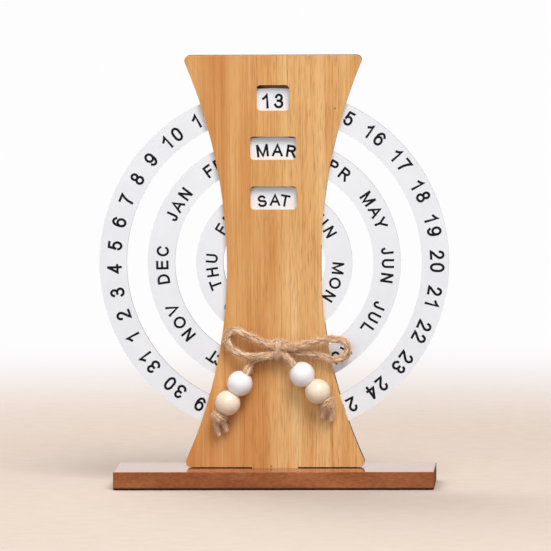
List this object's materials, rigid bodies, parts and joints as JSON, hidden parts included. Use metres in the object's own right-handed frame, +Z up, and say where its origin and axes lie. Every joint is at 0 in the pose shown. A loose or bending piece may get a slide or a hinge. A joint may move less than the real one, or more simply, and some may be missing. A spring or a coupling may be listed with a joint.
{
  "type": "perpetual desk calendar",
  "caption": "Perpetual desk calendar: rings for date, month and day turn behind windows in a waisted wooden upright on a flat base, with a twine bow and wooden beads.",
  "frame": {"origin": "middle of the base board's underside, on the table", "axes": "+Z up, +X to the right and -Y towards the reader; the rings turn about Y"},
  "size_m": [0.193, 0.055, 0.2381],
  "materials": {
    "stained_board": "gloss",
    "bamboo_plate": "satin",
    "white_ring_board": "matte",
    "jute_twine": "matte",
    "white_bead": "satin",
    "natural_bead": "satin",
    "clear_glue": "satin"
  },
  "bodies": {
    "stand": {"base_board": "stained_board", "front_panel": "bamboo_plate", "back_panel": "bamboo_plate", "top_spacer": "bamboo_plate", "upper_outer_spacer": "bamboo_plate", "upper_inner_spacer": "bamboo_plate", "hub_spacer": "bamboo_plate", "lower_inner_spacer": "bamboo_plate", "lower_outer_spacer": "bamboo_plate", "bottom_spacer": "bamboo_plate", "bow_glue_dot": "clear_glue", "bow_knot": "jute_twine", "bow_loop_left": "jute_twine", "bow_loop_right": "jute_twine", "bow_tail_left": "jute_twine", "bow_tail_right": "jute_twine", "tail_knot_left": "jute_twine", "tail_knot_right": "jute_twine"},
    "date_ring": {"date_ring": "white_ring_board"},
    "month_ring": {"month_ring": "white_ring_board"},
    "day_ring": {"day_ring": "white_ring_board"},
    "bead_white_left": {"bead_white_left": "white_bead"},
    "bead_natural_left": {"bead_natural_left": "natural_bead"},
    "bead_white_right": {"bead_white_right": "white_bead"},
    "bead_natural_right": {"bead_natural_right": "natural_bead"}
  },
  "joints": [
    {"name": "date_ring_turn", "type": "hinge", "parent": "stand", "child": "date_ring", "pos_m": [0, 0, 0.1235], "axis": [0, 1, 0], "continuous": true},
    {"name": "month_ring_turn", "type": "hinge", "parent": "stand", "child": "month_ring", "pos_m": [0, 0, 0.1235], "axis": [0, 1, 0], "continuous": true},
    {"name": "day_ring_turn", "type": "hinge", "parent": "stand", "child": "day_ring", "pos_m": [0, 0, 0.1235], "axis": [0, 1, 0], "continuous": true},
    {"name": "bead_white_left_spin", "type": "hinge", "parent": "stand", "child": "bead_white_left", "pos_m": [-0.0188, -0.01185, 0.0576], "axis": [-0.5288, 0, -0.8487], "continuous": true},
    {"name": "bead_natural_left_spin", "type": "hinge", "parent": "stand", "child": "bead_natural_left", "pos_m": [-0.02552, -0.01185, 0.04682], "axis": [-0.5288, 0, -0.8487], "continuous": true},
    {"name": "bead_white_right_spin", "type": "hinge", "parent": "stand", "child": "bead_white_right", "pos_m": [0.0155, -0.01185, 0.0625], "axis": [0.6739, 0, -0.7388], "continuous": true},
    {"name": "bead_natural_right_spin", "type": "hinge", "parent": "stand", "child": "bead_natural_right", "pos_m": [0.02406, -0.01185, 0.05312], "axis": [0.6739, 0, -0.7388], "continuous": true}
  ]
}
